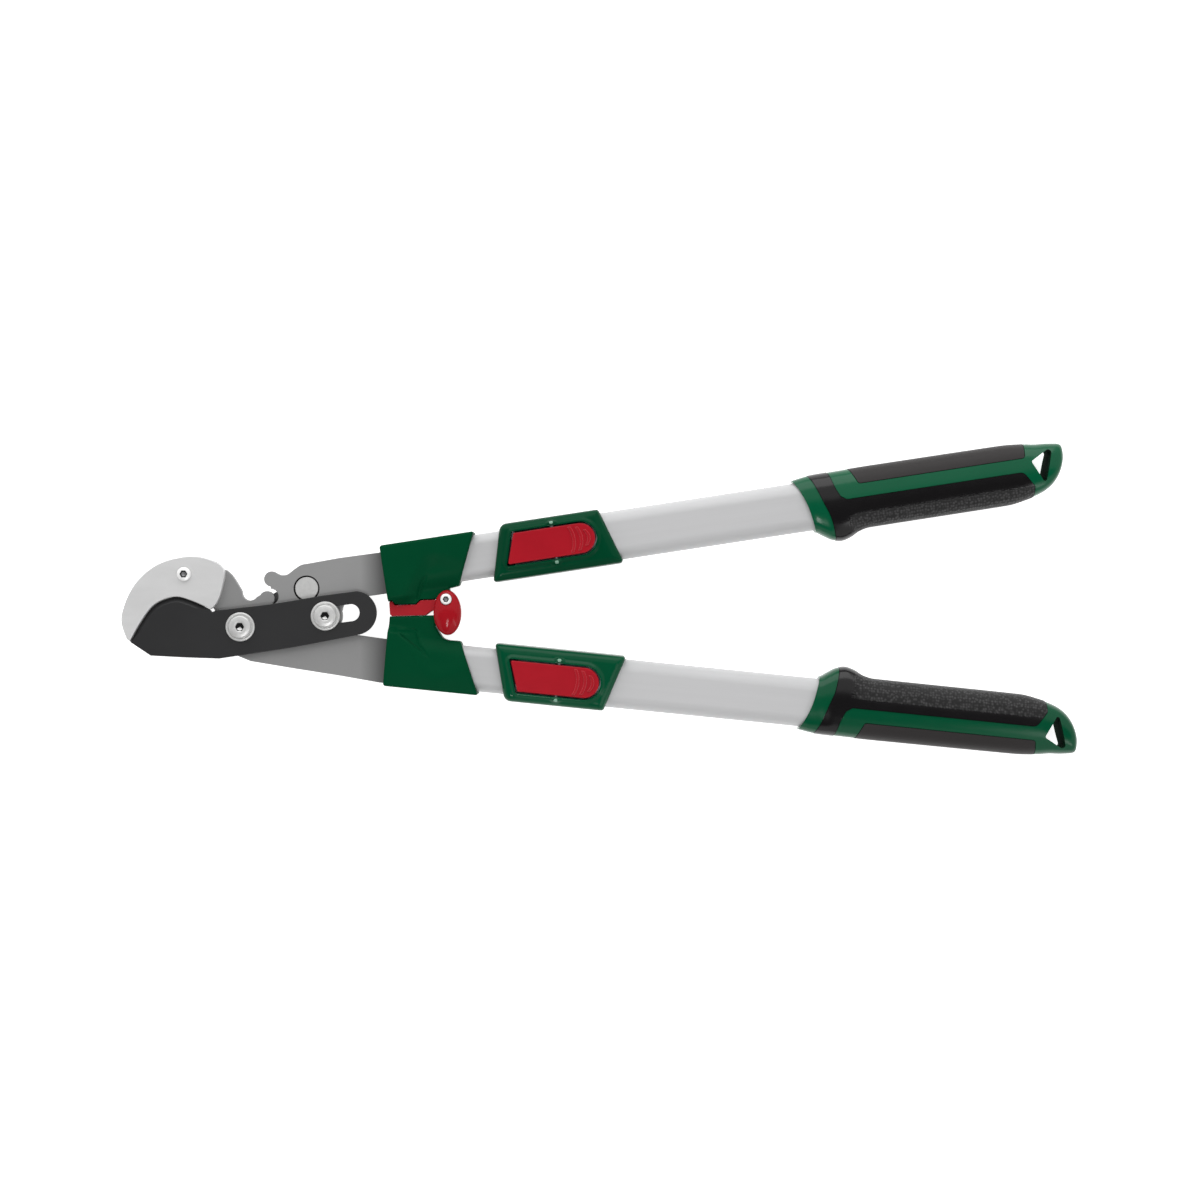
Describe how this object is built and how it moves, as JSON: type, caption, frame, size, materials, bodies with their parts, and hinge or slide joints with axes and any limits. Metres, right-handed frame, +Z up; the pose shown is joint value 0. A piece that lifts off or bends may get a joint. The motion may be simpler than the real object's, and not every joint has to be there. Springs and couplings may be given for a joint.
{
  "type": "telescopic lopper",
  "caption": "Geared bypass lopper with a hooked anvil arm, a black curved blade and telescopic tube handles with push-button clamps, shown closed and retracted.",
  "frame": {"origin": "middle of the closed tool's box, on the surface that it lies on", "axes": "+X from the blade towards the grips along the line midway between the handles, +Y towards the handle that carries the latch, +Z up out of the face with bolt heads and buttons"},
  "size_m": [0.683, 0.224, 0.0318],
  "materials": {
    "arm_steel": "brushed, grey",
    "gear_arm_steel": "brushed, grey",
    "face_plate_steel": "satin, bright",
    "blade_coating": "satin black coating",
    "carrier_steel": "satin black",
    "fastener_zinc": "bright plated",
    "collar_green": "fine grained",
    "bumper_red": "satin",
    "latch_red": "glossy",
    "inner_tube_aluminium": "satin",
    "outer_tube_aluminium": "fine satin",
    "black_plastic": "matte",
    "clamp_green": "satin",
    "button_red": "satin",
    "pin_steel": "bright",
    "grip_green": "satin to glossy",
    "grip_soft": "soft, grained",
    "grip_strip": "soft, grained"
  },
  "bodies": {
    "lower_handle": {"hook_arm": "arm_steel", "hook_face_plate": "face_plate_steel", "face_plate_screw": "fastener_zinc", "face_plate_nut": "fastener_zinc", "pivot_bolt": "fastener_zinc", "pivot_nut": "fastener_zinc", "lower_collar": "collar_green", "lower_arm_rivet_front": "fastener_zinc", "lower_arm_rivet_rear": "fastener_zinc", "lower_inner_tube": "inner_tube_aluminium", "lower_tube_plug": "black_plastic"},
    "carrier": {"carrier_link": "carrier_steel", "gear_pin": "fastener_zinc"},
    "blade": {"blade": "blade_coating"},
    "upper_handle": {"gear_arm": "gear_arm_steel", "slide_bolt": "fastener_zinc", "slide_bush": "fastener_zinc", "slide_nut": "fastener_zinc", "bumper_pad": "bumper_red", "latch_screw": "fastener_zinc", "upper_collar": "collar_green", "upper_arm_rivet_front": "fastener_zinc", "upper_arm_rivet_rear": "fastener_zinc", "upper_inner_tube": "inner_tube_aluminium", "upper_tube_plug": "black_plastic"},
    "latch": {"latch": "latch_red"},
    "upper_sleeve": {"upper_outer_tube": "outer_tube_aluminium", "upper_front_bushing": "black_plastic", "upper_clamp_housing": "clamp_green", "upper_button_pin": "pin_steel", "upper_button_spring": "pin_steel", "upper_grip_core": "grip_green", "upper_grip_palm": "grip_soft", "upper_grip_strip": "grip_strip"},
    "upper_button": {"upper_clamp_button": "button_red", "upper_lock_pin": "pin_steel"},
    "lower_sleeve": {"lower_outer_tube": "outer_tube_aluminium", "lower_front_bushing": "black_plastic", "lower_clamp_housing": "clamp_green", "lower_button_pin": "pin_steel", "lower_button_spring": "pin_steel", "lower_grip_core": "grip_green", "lower_grip_palm": "grip_soft", "lower_grip_strip": "grip_strip"},
    "lower_button": {"lower_clamp_button": "button_red", "lower_lock_pin": "pin_steel"}
  },
  "joints": [
    {"name": "handle_opening", "type": "hinge", "parent": "carrier", "child": "upper_handle", "pos_m": [-0.20893, 0.02111, 0.0145], "axis": [0, 0, 1], "range_deg": [0, 45]},
    {"name": "carrier_turn", "type": "hinge", "parent": "lower_handle", "child": "carrier", "pos_m": [-0.25633, -0.00517, 0.0145], "axis": [0, 0, 1], "range_deg": [0, 45]},
    {"name": "blade_turn", "type": "hinge", "parent": "lower_handle", "child": "blade", "pos_m": [-0.25633, -0.00517, 0.0145], "axis": [0, 0, 1], "range_deg": [0, 56]},
    {"name": "latch_turn", "type": "hinge", "parent": "upper_handle", "child": "latch", "pos_m": [-0.10813, 0.01083, 0.0145], "axis": [0, 0, 1], "range_deg": [-18, 45]},
    {"name": "upper_extension", "type": "slide", "parent": "upper_handle", "child": "upper_sleeve", "axis": [0.9921, 0.1257, 0], "range_m": [0, 0.3]},
    {"name": "upper_button_press", "type": "hinge", "parent": "upper_sleeve", "child": "upper_button", "pos_m": [-0.02984, 0.04786, 0.0279], "axis": [-0.1257, 0.9921, 0], "range_deg": [0, 5], "stiffness_Nm_per_rad": 0.5, "springref_deg": -5.73, "deforming": ["upper_button_spring"]},
    {"name": "lower_extension", "type": "slide", "parent": "lower_handle", "child": "lower_sleeve", "axis": [0.9921, -0.1257, 0], "range_m": [0, 0.3]},
    {"name": "lower_button_press", "type": "hinge", "parent": "lower_sleeve", "child": "lower_button", "pos_m": [-0.02984, -0.0474, 0.0279], "axis": [0.1257, 0.9921, 0], "range_deg": [0, 5], "stiffness_Nm_per_rad": 0.5, "springref_deg": -5.73, "deforming": ["lower_button_spring"]}
  ],
  "couplings": [
    {"joint": "carrier_turn", "follows": "handle_opening", "ratio": 1},
    {"joint": "blade_turn", "follows": "handle_opening", "ratio": 1.24}
  ]
}
